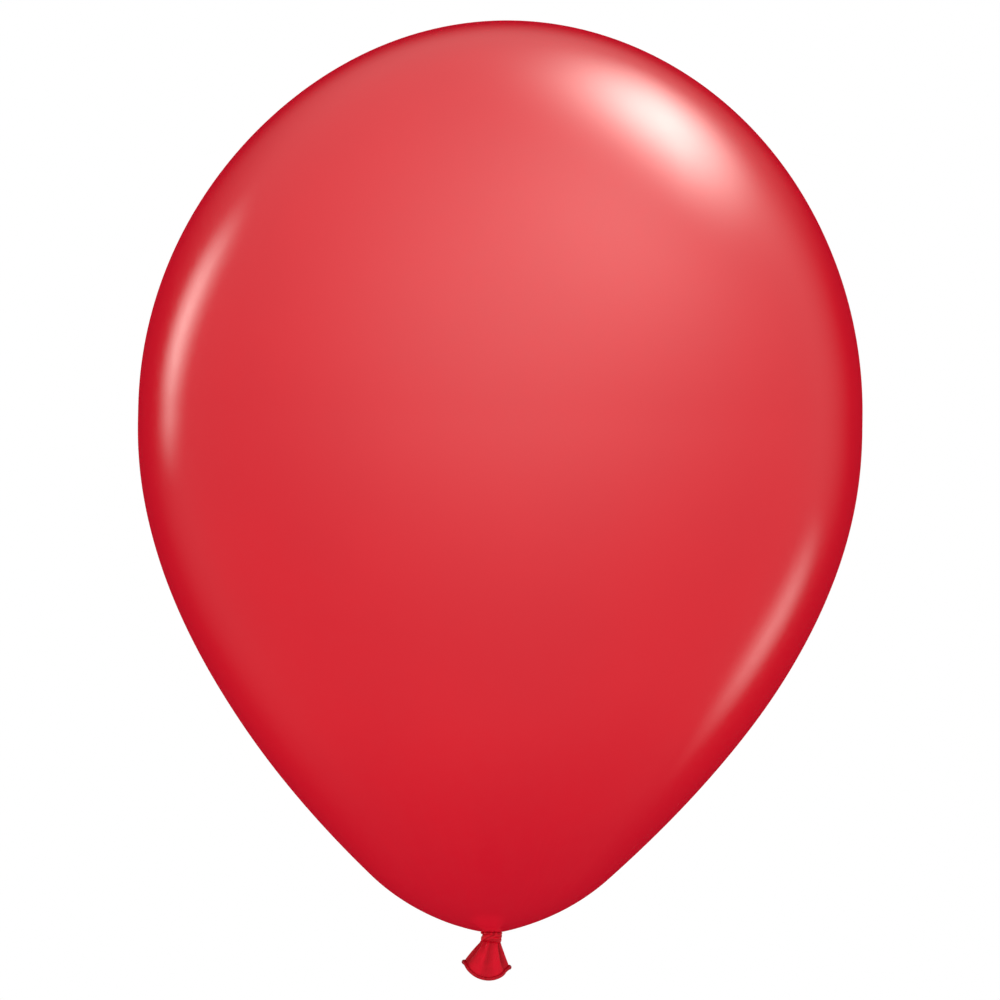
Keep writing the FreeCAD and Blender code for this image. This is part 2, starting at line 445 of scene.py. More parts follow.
def gather_line_group() -> bpy.types.NodeTree:
    """Fine creases that run away from the tie, with no join round the upright axis.

    Returns:
        The node group.
    """
    graph, given, made = new_group(
        "gather_lines",
        {"Place": "NodeSocketVector", "Count": "NodeSocketFloat", "Drift": "NodeSocketFloat"},
        {"Line": "NodeSocketFloat"},
    )
    plan = graph.vector("MULTIPLY", given.outputs["Place"], (1.0, 1.0, 0.0))
    around = graph.vector("NORMALIZE", plan.outputs[0])
    spread = graph.vector("SCALE", around.outputs[0])
    graph.feed(spread.inputs["Scale"], given.outputs["Count"])
    height = graph.add("ShaderNodeSeparateXYZ")
    graph.feed(height.inputs[0], given.outputs["Place"])
    drift = graph.add("ShaderNodeCombineXYZ")
    graph.feed(drift.inputs["Z"], graph.maths("MULTIPLY", height.outputs["Z"], given.outputs["Drift"]))
    place = graph.vector("ADD", spread.outputs[0], drift.outputs[0])
    value = graph.noise(place.outputs[0], 1.0, 2.0)
    ridge = graph.maths("ABSOLUTE", graph.maths("MULTIPLY_ADD", value, 2.0, -1.0))
    graph.feed(made.inputs["Line"], graph.ramp(ridge, 0.0, 0.35, 1.0, 0.0))
    return graph.tree


@dataclass(frozen=True)
class ShaderGroups:
    """The shader groups that the finishes share."""

    clouds: bpy.types.NodeTree
    gathers: bpy.types.NodeTree

    @classmethod
    def build(cls) -> "ShaderGroups":
        """Builds each group once."""
        return cls(clouds=film_cloud_group(), gathers=gather_line_group())


@dataclass(frozen=True)
class Latex:
    """Coloured latex film. Thin film lets more light back out, and folds and thicker film are deeper; the
    deep colour also serves as painted shade in valleys, crease lines and the skin's underside.

    The scales are in waves per metre, and the relief in metres.
    """

    name: str
    film: Colour
    deep: Colour
    gloss: float
    dull: float
    cloud_scale: float
    line_count: float
    line_drift: float
    line_share: float = 0.5
    cloud_share: float = 0.20
    grain_scale: float = 2600.0
    grain_height: float = 0.00003
    refraction: float = 1.5
    shine: float = 0.5
    edge_glow: float = 0.0
    edge_spread: float = 0.3
    edge_tint: Colour = (1.0, 0.01, 0.04)

    def thick_and_shaded_places(self, graph: Graph, place: bpy.types.NodeSocket) -> bpy.types.NodeSocket:
        """How deep the colour goes, from the mesh's mask, as a socket: partly doubled film, partly painted
        shade.
        """
        fold_and_shade = graph.add("ShaderNodeAttribute", attribute_name=FOLD_AND_SHADE)
        return fold_and_shade.outputs["Fac"]

    def build(self, groups: ShaderGroups) -> bpy.types.Material:
        """Makes the material.

        Args:
            groups: the shared shader groups.

        Returns:
            The material.
        """
        material, graph = new_material(self.name)
        place = graph.add("ShaderNodeTexCoord").outputs["Object"]
        clouds = graph.group(groups.clouds, Place=place, Scale=self.cloud_scale, Grain=self.grain_scale)
        lines = graph.group(groups.gathers, Place=place, Count=self.line_count, Drift=self.line_drift)
        # The deep colour's share: random clouds, plus the mask and the crease lines, which are partly thicker
        # film and partly painted shade.
        thick_and_shade = self.thick_and_shaded_places(graph, place)
        cloud = graph.maths("MULTIPLY", clouds.outputs["Cloud"], self.cloud_share)
        line = graph.maths("MULTIPLY", lines.outputs["Line"], self.line_share)
        line = graph.maths("MULTIPLY", line, thick_and_shade)
        share = graph.maths("ADD", graph.maths("ADD", cloud, line), thick_and_shade, clamp=True)
        shader = graph.add("ShaderNodeBsdfPrincipled")
        graph.feed(shader.inputs["Base Color"], graph.blend(share, self.film, self.deep))
        rough = graph.ramp(clouds.outputs["Grain"], 0.35, 0.65, self.gloss, self.dull)
        graph.feed(shader.inputs["Roughness"], rough)
        graph.feed(shader.inputs["IOR"], self.refraction)
        graph.feed(shader.inputs["Specular IOR Level"], self.shine)
        graph.feed(shader.inputs["Sheen Weight"], self.edge_glow)
        graph.feed(shader.inputs["Sheen Roughness"], self.edge_spread)
        graph.feed(shader.inputs["Sheen Tint"], (*self.edge_tint, 1.0))
        relief = graph.maths("SUBTRACT", clouds.outputs["Grain"], line)
        bump = graph.add("ShaderNodeBump")
        graph.feed(bump.inputs["Height"], relief)
        graph.feed(bump.inputs["Distance"], self.grain_height)
        graph.feed(bump.inputs["Strength"], 1.0)
        graph.feed(shader.inputs["Normal"], bump.outputs["Normal"])
        out = graph.add("ShaderNodeOutputMaterial")
        graph.feed(out.inputs["Surface"], shader.outputs["BSDF"])
        return material


@dataclass(frozen=True)
class StretchedLatex(Latex):
    """The blown-up skin, deeper in colour at the crown, where the film is thicker, and low down, where the
    darkening is painted shade, partly for the less-stretched film.
    """

    # Painted shade: the red deepens from low_start down to low_end, partly for the less-stretched film there.
    low_start: float = 0.085
    low_end: float = 0.0
    low_shade_share: float = 0.75
    crown_radius: float = 0.017
    crown_share: float = 0.15
    crown_height: float = 0.3

    def thick_and_shaded_places(self, graph: Graph, place: bpy.types.NodeSocket) -> bpy.types.NodeSocket:
        """How deep the skin's colour is: painted shade towards the bottom, partly less-stretched film, and
        the crown's thicker spot.

        Args:
            graph: the material's graph.
            place: the surface's own coordinates.

        Returns:
            The mask's socket.
        """
        parts = graph.add("ShaderNodeSeparateXYZ")
        graph.feed(parts.inputs[0], place)
        # Painted shade towards the bottom, partly less-stretched film.
        low = graph.ramp(parts.outputs["Z"], self.low_start, self.low_end, 0.0, self.low_shade_share)
        flat = graph.vector("MULTIPLY", place, (1.0, 1.0, 0.0))
        away = graph.vector("LENGTH", flat.outputs[0]).outputs["Value"]
        spot = graph.ramp(away, self.crown_radius, self.crown_radius * 0.55, 0.0, self.crown_share)
        above = graph.maths("GREATER_THAN", parts.outputs["Z"], self.crown_height)
        return graph.maths("ADD", low, graph.maths("MULTIPLY", spot, above), clamp=True)


@dataclass(frozen=True)
class Finishes:
    """The four finishes of one latex: blown up tight, gathered, relaxed and rolled."""

    skin: bpy.types.Material
    gathered: bpy.types.Material
    relaxed: bpy.types.Material
    rolled: bpy.types.Material

    @classmethod
    def build(cls) -> "Finishes":
        """Makes the materials, each with its own values in the shared groups."""
        groups = ShaderGroups.build()
        skin = StretchedLatex(
            name="latex_blown_up",
            film=(0.71, 0.0072, 0.0205),
            deep=(0.60, 0.0062, 0.0205),
            gloss=0.115,
            dull=0.145,
            cloud_scale=14.0,
            cloud_share=0.22,
            grain_scale=260.0,
            grain_height=0.000008,
            line_count=26.0,
            line_drift=6.0,
            line_share=0.15,
            edge_glow=0.55,
        )
        gathered = Latex(
            name="latex_gathered",
            film=(0.78, 0.0066, 0.0240),
            deep=(0.42, 0.0032, 0.0115),
            gloss=0.24,
            dull=0.36,
            cloud_scale=420.0,
            line_count=18.0,
            line_drift=160.0,
            shine=0.09,
        )
        relaxed = Latex(
            name="latex_relaxed",
            film=(0.73, 0.0062, 0.0240),
            deep=(0.40, 0.0030, 0.0115),
            gloss=0.26,
            dull=0.40,
            cloud_scale=300.0,
            line_count=14.0,
            line_drift=120.0,
            line_share=0.4,
            grain_scale=2200.0,
            shine=0.07,
        )
        # The rolled bead is darker: thicker film, partly painted shade standing in for its dark reflections.
        rolled = Latex(
            name="latex_rolled",
            film=(0.58, 0.0050, 0.0180),
            deep=(0.28, 0.0022, 0.0085),
            gloss=0.24,
            dull=0.34,
            cloud_scale=500.0,
            cloud_share=0.25,
            grain_height=0.00002,
            line_count=60.0,
            line_drift=40.0,
            shine=0.10,
        )
        return cls(*(latex.build(groups) for latex in (skin, gathered, relaxed, rolled)))


# The balloon


@dataclass
class Skin:
    """The blown-up body: an egg standing on its point, gathered finely where it meets the throat.

    Lengths are in millimetres. The body's radius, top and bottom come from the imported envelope.
    Each of the centres is (height, how far aside the body's middle is there).
    """

    equator: float = 200.9
    crown_handle: float = 75.6
    equator_up_handle: float = 82.5
    equator_down_handle: float = 19.6
    shoulder_radius: float = 45.8
    shoulder_height: float = 21.4
    shoulder_angle: float = 42.8
    flank_handle: float = 133.7
    shoulder_handle: float = 25.2
    throat_radius: float = 3.4
    throat_handle: float = 2.0
    wall: float = 0.3
    centres: tuple[Point, ...] = (
        (0.4, -0.25),
        (2.0, -0.7),
        (6.0, -1.0),
        (28.0, -1.0),
        (60.0, -0.5),
        (95.0, 0.2),
        (145.0, 0.25),
        (200.0, 0.05),
        (260.0, 0.6),
        (320.0, 1.9),
        (353.0, 2.1),
    )
    uneven: float = 0.10
    gather_depth: float = 0.14
    gather_reach: float = 13.0
    gathers: tuple[Wave, ...] = ((17, 0.5, 0.3), (26, 0.3, 1.9), (41, 0.2, 4.1))
    rings_down: tuple[int, int, int] = (72, 80, 56)
    centre_points: int = 200
    sides: int = 240
    inner_step: int = 3

    def profile(self) -> np.ndarray:
        """The outline from the crown to the throat, as (radius, height) in millimetres."""
        low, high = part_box(Piece.SKIN.node)
        radius = (high.x - low.x) / 2 / MM
        top, bottom = high.z / MM, low.z / MM
        lean = math.radians(self.shoulder_angle)
        shoulder = (self.shoulder_radius, self.shoulder_height)

        def past_shoulder(length: float) -> Point:
            """The point that far up the flank from the shoulder, or down it if negative."""
            return (
                self.shoulder_radius + length * math.cos(lean),
                self.shoulder_height + length * math.sin(lean),
            )

        crown = [
            (0.0, top),
            (self.crown_handle, top),
            (radius, self.equator + self.equator_up_handle),
            (radius, self.equator),
        ]
        flank = [
            (radius, self.equator),
            (radius, self.equator - self.equator_down_handle),
            past_shoulder(self.flank_handle),
            shoulder,
        ]
        underside = [
            shoulder,
            past_shoulder(-self.shoulder_handle),
            (self.throat_radius + self.throat_handle, bottom),
            (self.throat_radius, bottom),
        ]
        lines = zip((crown, flank, underside), self.rings_down)
        first, second, third = (bezier(line, count) for line, count in lines)
        return np.vstack([first, second[1:], third[1:]])

    def rings(self) -> tuple[np.ndarray, np.ndarray]:
        """The wall's rings, down the outside and back up inside, and how deep each point is folded."""
        outline = self.profile()
        slope = np.gradient(outline, axis=0)
        slope /= np.linalg.norm(slope, axis=1)[:, None]
        normal = np.stack([-slope[:, 1], slope[:, 0]], axis=1)
        inner = (outline - normal * self.wall)[:: self.inner_step]
        inner[:, 0] = np.maximum(inner[:, 0], 0.0)
        angle = turn_angles(self.sides)
        gathers = waves(self.gathers, angle)
        rings = []
        folds = []
        for line, facing in ((outline, normal), (inner, normal[:: self.inner_step])):
            reach = smooth_step(self.gather_reach, self.throat_radius, line[:, 0])
            near = reach * (line[:, 1] < self.equator)
            lift = self.gather_depth * near[:, None] * gathers[None, :]
            lift = lift + self.roll(line, angle)
            radius = line[:, :1] + lift * facing[:, :1]
            height = line[:, 1:] + lift * facing[:, 1:]
            points = round_rings(radius, angle, height)
            points[:, :, 0] += self.sideways(line[:, 1:])
            rings.append(points)
            folds.append(near[:, None] * (0.5 - 0.5 * gathers[None, :]))
        return walled(*rings), walled(*folds)

    def sideways(self, height: np.ndarray) -> np.ndarray:
        """How far the body's middle stands aside at each height, since no balloon is quite true."""
        line = through(self.centres, self.centre_points)
        return np.interp(height, line[:, 0], line[:, 1])

    def roll(self, line: np.ndarray, angle: np.ndarray) -> np.ndarray:
        """The film's slight unevenness, which no balloon is free of.

        Args:
            line: the outline's points.
            angle: the angles round the body.

        Returns:
            How far each point stands out, in millimetres.
        """
        share = smooth_step(4.0, 60.0, line[:, 0])[:, None]
        height = line[:, 1:] / self.equator * math.pi
        first = np.sin(2 * angle + 1.1 + 0.8 * height) * np.cos(1.3 * height + 0.4)
        second = np.sin(3 * angle + 4.0 - 0.6 * height) * np.cos(2.1 * height + 1.9)
        return self.uneven * share * (0.6 * first + 0.4 * second)

    def build(self, finish: bpy.types.Material) -> bpy.types.Object:
        """Makes the skin, which rides on the balloon.

        Args:
            finish: the skin's material.

        Returns:
            The skin.
        """
        rows, fold_and_shade = self.rings()
        obj = add_surface(Piece.SKIN.label, rows, fold_and_shade)
        settle(Piece.SKIN, obj, finish)
        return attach(obj, Body.BALLOON.value)


@dataclass
class Throat:
    """The gathered tube between the skin and the knot, which swells and puckers above the tie.

    Each station is (height, radius) in millimetres.
    """

    stations: tuple[Point, ...] = (
        (1.8, 2.75),
        (1.1, 2.9),
        (0.65, 3.35),
        (0.2, 4.0),
        (-0.4, 4.0),
        (-1.2, 3.0),
        (-2.4, 2.3),
    )
    wall: float = 0.4
    pleat: float = 0.2
    pleats: tuple[Wave, ...] = ((11, 0.6, 0.5), (17, 0.4, 2.6))
    pleat_start: float = 1.6
    pleat_full: float = 0.4
    rings_down: int = 48
    sides: int = 144

    def build(self, finish: bpy.types.Material) -> bpy.types.Object:
        """Makes the throat between the skin and the knot.

        Args:
            finish: the throat's material.

        Returns:
            The throat.
        """
        line = through(self.stations, self.rings_down)
        height, radius = line[:, 0], line[:, 1]
        angle = turn_angles(self.sides)
        pleats = waves(self.pleats, angle)
        share = smooth_step(self.pleat_start, self.pleat_full, height)[:, None]
        pleat = self.pleat * share * pleats[None, :]
        reach = radius[:, None] + pleat
        shells = [round_rings(reach - inset, angle, height[:, None]) for inset in (0.0, self.wall)]
        # Mask for the finish: deeper red in the pleats' valleys, painted crease shade, partly doubled film.
        fold_and_shade = 0.5 - 0.5 * np.broadcast_to(pleats[None, :], pleat.shape)
        obj = add_surface(Piece.THROAT.label, walled(*shells), walled(fold_and_shade, fold_and_shade), wraps=True)
        settle(Piece.THROAT, obj, finish)
        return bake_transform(obj)


@dataclass
class Knot:
    """One overhand knot in the twisted neck: two wraps, a crossing over them, and the end tucked down.

    Each station is (turns round the throat, radius, height), in millimetres from the knot's centre.
    """

    stations: tuple[Station, ...] = (
        (-0.10, 0.4, 1.9),
        (0.05, 1.2, 1.55),
        (0.22, 2.65, 1.25),
        (0.45, 3.00, 1.10),
        (0.70, 2.85, 0.70),
        (0.95, 2.40, 0.20),
        (1.20, 2.70, -0.35),
        (1.45, 2.75, -0.80),
        (1.68, 2.70, -1.15),
        (1.84, 2.85, -0.90),
        (1.97, 3.05, 0.00),
        (2.10, 3.00, 0.85),
        (2.24, 1.90, 1.15),
        (2.38, 0.80, 0.50),
        (2.45, 0.35, -0.90),
        (2.50, 0.30, -2.30),
    )
    front_turn: float = 0.62
    strand: float = 1.28
    crease: float = 0.085
    creases: tuple[Wave, ...] = ((4, 0.45, 0.4), (7, 0.35, 2.2), (11, 0.2, 5.0))
    crease_twist: float = 9.0
    pinch: float = 0.05
    taper: float = 0.03
    drum_radius: float = 4.2
    drum_half_height: float = 2.36
    drum_power: float = 5.0
    squeeze_from: float = 0.88
    sides: int = 44
    steps: int = 300

    def line(self) -> np.ndarray:
        """The strand's centre line, from the throat to the tail, about the knot's centre."""
        route = through(self.stations, self.steps)
        angle = (route[:, 0] + self.front_turn) * FULL_TURN
        return np.stack([route[:, 1] * np.cos(angle), route[:, 1] * np.sin(angle), route[:, 2]], axis=1)

    def rings(self) -> tuple[np.ndarray, np.ndarray]:
        """The strand's rings, pressed into a ball, and a mask that deepens the red in the creases' valleys:
        painted crease shade, partly doubled film.
        """
        centre = self.line()
        along = np.linspace(0.0, 1.0, self.steps)
        angle = turn_angles(self.sides)
        twist = angle[None, :] + self.crease_twist * along[:, None]
        creases = waves(self.creases, twist)
        pinch = self.pinch * np.sin(70.0 * along + 1.5 * np.sin(23.0 * along))[:, None]
        ends = smooth_step(0.0, self.taper, np.minimum(along, 1.0 - along))
        size = self.strand * ends[:, None] * (1.0 + self.crease * creases + pinch * np.cos(2 * twist))
        rows = sweep(centre, size)
        # The mask: painted crease shade in the valleys, partly doubled film.
        return self.pressed(rows), np.clip(0.35 - 0.55 * creases, 0.0, 1.0)

    def pressed(self, rows: np.ndarray) -> np.ndarray:
        """Presses the strand into a short drum with round corners, as pulling the knot tight does.

        Args:
            rows: the strand's rings, about the knot's centre.

        Returns:
            The pressed rings.
        """
        out = np.hypot(rows[:, :, 0], rows[:, :, 1]) / self.drum_radius
        up = np.abs(rows[:, :, 2]) / self.drum_half_height
        share = (out**self.drum_power + up**self.drum_power) ** (1.0 / self.drum_power)
        room = 1.0 - self.squeeze_from
        over = np.maximum(share - self.squeeze_from, 0.0)
        kept = np.where(over > 0.0, self.squeeze_from + room * np.tanh(over / room), share)
        return rows * (kept / np.maximum(share, 1e-6))[:, :, None]

    def build(self, finish: bpy.types.Material) -> bpy.types.Object:
        """Makes the knot, which rides on its own body.

        Args:
            finish: the knot's material.

        Returns:
            The knot.
        """
        low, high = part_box(Piece.KNOT.node)
        reach = (high.x - low.x) / 2
        rows, fold_and_shade = self.rings()
        rows[:, :, 2] += (low.z + reach) / MM
        obj = add_surface(Piece.KNOT.label, rows, fold_and_shade)
        settle(Piece.KNOT, obj, finish)
        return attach(obj, Body.KNOT.value)


@dataclass
class Tail:
    """The flattened, pleated fan below the knot, in millimetres down its own leaning axis."""

    lean: float = 5.8
    gather_drop: float = 2.3
    gather_radius: float = 4.0
    width_growth: float = 0.618
    depth_growth: float = 0.047
    rim_centre: float = 7.4
    rim_reach: float = 9.5
    tuck_drop: float = 0.7
    tuck_radius: float = 1.9
    wall: float = 0.3
    trumpet: float = 0.35
    right_trim: float = 0.55
    drift: float = 0.4
    # Painted shade at the fan's left and right sides, partly the film doubled over there.
    edge_fold_and_shade: float = 0.4
    broad_fold: float = 0.55
    broad_waves: tuple[Wave, ...] = ((6, 0.75, 1.885), (4, 0.2, 1.35), (3, 0.25, 0.4))
    fine_fold: float = 0.46
    fine_waves: tuple[Wave, ...] = ((8, 0.45, 3.6), (13, 0.35, 1.0), (19, 0.2, 5.2))
    blend_from: float = 0.4
    blend_to: float = 4.6
    sides: int = 288
    rings_down: int = 70
    tuck_rings: int = 14

    @property
    def pivot(self) -> Vector:
        """The point that the tail swings about, in the model's frame."""
        low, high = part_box(Piece.KNOT.node)
        return Vector((0.0, 0.0, low.z + (high.x - low.x) / 2))

    @property
    def placing(self) -> Matrix:
        """Takes the tail's own frame, in metres, to the model's frame."""
        return Matrix.Translation(self.pivot) @ Matrix.Rotation(math.radians(self.lean), 4, "Y")

    def rim_drop(self, angle: np.ndarray) -> np.ndarray:
        """How far below the gather the rim lies, where the wall meets the ball that trims it."""
        across = self.width_growth**2 * np.cos(angle) ** 2 + self.depth_growth**2 * np.sin(angle) ** 2
        linear = self.gather_radius * (
            self.width_growth * np.cos(angle) ** 2 + self.depth_growth * np.sin(angle) ** 2
        )
        drop = self.rim_centre - self.gather_drop
        a = 1.0 + across
        b = 2.0 * (linear - drop)
        c = self.gather_radius**2 + drop**2 - self.rim_reach**2
        return (-b + np.sqrt(b * b - 4 * a * c)) / (2 * a)

    def folds(self, angle: np.ndarray, share: np.ndarray) -> np.ndarray:
        """How far the pleats stand out of the plain fan.

        Args:
            angle: the angles round the fan.
            share: how far down the fan, from 0 at the gather to 1 at the rim.

        Returns:
            The distance out, in millimetres, for each share and angle.
        """
        down = share[:, None]
        broad = waves(self.broad_waves, angle)[None, :]
        fine = waves(self.fine_waves, angle)[None, :]
        swell = np.sin(math.pi * np.clip(down, 0.0, 1.0)) ** 0.8
        spread = self.broad_fold * (0.35 + 0.65 * swell) * broad
        close = self.fine_fold * (1.0 - 0.75 * down) * fine
        return spread + close

    def wall_rings(self, inset: float) -> np.ndarray:
        """One face of the wall, from the tuck in the knot down to the rim.

        Args:
            inset: how far inside the outer face it lies.

        Returns:
            The rings of points in the tail's own frame.
        """
        angle = turn_angles(self.sides)
        share = np.linspace(0.0, 1.0, self.rings_down)
        drop = share[:, None] * self.rim_drop(angle)[None, :]
        narrowing = self.trumpet * np.sin(math.pi * share) + self.right_trim * share
        pinch = narrowing[:, None] * (0.5 + 0.5 * np.cos(angle))[None, :]
        out = self.folds(angle, share) - inset
        half_width = self.gather_radius + self.width_growth * drop - pinch + out
        half_depth = self.gather_radius + self.depth_growth * drop + out
        fan = np.stack(
            [
                half_width * np.cos(angle) - self.drift * share[:, None],
                half_depth * np.sin(angle),
                -self.gather_drop - drop,
            ],
            axis=-1,
        )
        tuck = np.linspace(0.0, 1.0, self.tuck_rings, endpoint=False)[:, None]
        start = self.tuck_radius - inset
        first = np.hypot(fan[0, :, 0], fan[0, :, 1])[None, :]
        radius = start + (first - start) * np.sin(tuck * math.pi / 2) ** 1.2
        height = -self.tuck_drop - (self.gather_drop - self.tuck_drop) * (1 - np.cos(tuck * math.pi / 2))
        return np.concatenate([round_rings(radius, angle, height), fan])

    def rim(self) -> np.ndarray:
        """The middle of the wall all round the rim, in the tail's own frame."""
        return self.wall_rings(self.wall / 2)[-1]

    def placed(self, points: np.ndarray) -> np.ndarray:
        """Moves points from the tail's own frame to the model's, both in millimetres."""
        turn = np.array(self.placing.to_3x3())
        return points @ turn.T + np.array(self.pivot) / MM

    def build(self, finish: bpy.types.Material) -> bpy.types.Object:
        """Makes the tail, from its gathered end in the knot down to the fan.

        Args:
            finish: the tail's material.

        Returns:
            The tail.
        """
        angle = turn_angles(self.sides)
        share = np.concatenate([np.zeros(self.tuck_rings), np.linspace(0, 1, self.rings_down)])
        # Painted shade: deeper red at the fan's sides and in the pleats' valleys, partly doubled film.
        edge = self.edge_fold_and_shade * np.cos(angle) ** 12
        depth = np.clip(0.25 - 0.8 * self.folds(angle, share) + edge[None, :], 0.0, 1.0)
        rows = walled(self.wall_rings(0.0), self.wall_rings(self.wall))
        obj = add_surface(Piece.TAIL.label, self.placed(rows), walled(depth, depth), wraps=True)
        settle(Piece.TAIL, obj, finish)
        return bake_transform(obj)


@dataclass
class Lip:
    """The bead at the mouth, rolled outwards from the tail's own edge, in millimetres.

    Each of the grooves that run along it is (share of a turn round the section, share of the depth).
    """

    radius: float = 0.72
    groove: float = 0.16
    groove_width: float = 0.30
    grooves: tuple[Point, ...] = ((0.45, 1.0), (0.10, 0.45))
    ripples: tuple[Wave, ...] = ((37, 0.4, 0.0), (53, 0.35, 1.3), (19, 0.4, 2.0))
    wrinkle: float = 0.018
    corner: float = 0.32
    sides: int = 28

    def build(self, tail: Tail, finish: bpy.types.Material) -> bpy.types.Object:
        """Makes the bead round the tail's rim, riding on the tail.

        Args:
            tail: the tail that carries it.
            finish: the bead's material.

        Returns:
            The bead.
        """
        rim = tail.rim()
        forward = np.roll(rim, -1, axis=0) - np.roll(rim, 1, axis=0)
        forward /= np.linalg.norm(forward, axis=1)[:, None]
        outward = rim - np.array((0.0, 0.0, -tail.gather_drop))
        outward -= forward * np.sum(outward * forward, axis=1)[:, None]
        outward /= np.linalg.norm(outward, axis=1)[:, None]
        across = np.cross(forward, outward)
        around = turn_angles(len(rim))[:, None]
        section = turn_angles(self.sides)[None, :]
        groove = sum(
            self.groove * depth * np.exp(-(((section - place * FULL_TURN) / self.groove_width) ** 2))
            for place, depth in self.grooves
        )
        ripple = waves(self.ripples, around)
        corner = np.cos(around) ** 12
        swell = 1.0 + 0.05 * np.sin(5 * around + 1.0) + self.corner * corner
        size = self.radius * swell - groove + self.wrinkle * ripple
        ring = (
            outward[:, None, :] * np.cos(section)[:, :, None]
            + across[:, None, :] * np.sin(section)[:, :, None]
        )
        rows = tail.placed(rim[:, None, :] + ring * size[:, :, None])
        # Painted shade: deeper red in the grooves, in the ripples' valleys and at the corners, partly the
        # bead's thicker film.
        depth = np.clip(0.25 - 0.15 * ripple + 2.5 * groove + 0.5 * corner, 0.0, 1.0)
        obj = add_surface(Piece.LIP.label, rows, depth, wraps=True)
        settle(Piece.LIP, obj, finish)
        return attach(obj, Body.TAIL.value)


# The studio


def direction(azimuth: float, elevation: float) -> Vector:
    """The unit vector towards a place round the balloon: azimuth 0 is in front, 90 to the right."""
    a, e = math.radians(azimuth), math.radians(elevation)
    return Vector((math.sin(a) * math.cos(e), -math.cos(a) * math.cos(e), math.sin(e)))


@dataclass(frozen=True)
class Glow:
    """A broad pale stretch of wall or ceiling that the gloss picks up."""

    azimuth: float
    elevation: float
    tightness: float
    strength: float

    def brightness(self, graph: Graph, way: bpy.types.NodeSocket) -> bpy.types.NodeSocket:
        """How bright the stretch is in each direction.

        Args:
            graph: the world's graph.
            way: the direction looked in.

        Returns:
            The brightness's socket.
        """
        near = graph.dot(way, direction(self.azimuth, self.elevation))
        fall = graph.maths("MULTIPLY_ADD", near, self.tightness, -self.tightness)
        return graph.maths("MULTIPLY", graph.maths("EXPONENT", fall), self.strength)


@dataclass(frozen=True)
class SoftBox:
    """A soft box that the gloss picks up. Its half sizes, edge and roll are in degrees."""

    azimuth: float
    elevation: float
    half_width: float
    half_height: float
    edge: float
    strength: float
    roll: float

    def brightness(self, graph: Graph, way: bpy.types.NodeSocket) -> bpy.types.NodeSocket:
        """How bright the box is in each direction.

        Args:
            graph: the world's graph.
            way: the direction looked in.

        Returns:
            The brightness's socket.
        """
        toward = direction(self.azimuth, self.elevation)
        a, r = math.radians(self.azimuth), math.radians(self.roll)
        right = Vector((math.cos(a), math.sin(a), 0.0))
        up = toward.cross(right)
        up = up if up.z > 0 else -up
        sides = (right * math.cos(r) + up * math.sin(r), up * math.cos(r) - right * math.sin(r))
        ahead = graph.dot(way, toward)
        shares = []
        for side, half in zip(sides, (self.half_width, self.half_height)):
            angle = graph.maths("ABSOLUTE", graph.maths("ARCTAN2", graph.dot(way, side), ahead))
            inner, outer = (math.radians(half + sign * self.edge / 2) for sign in (-1, 1))
            shares.append(graph.ramp(angle, inner, outer, 1.0, 0.0))
        return graph.maths("MULTIPLY", graph.maths("MULTIPLY", *shares), self.strength)


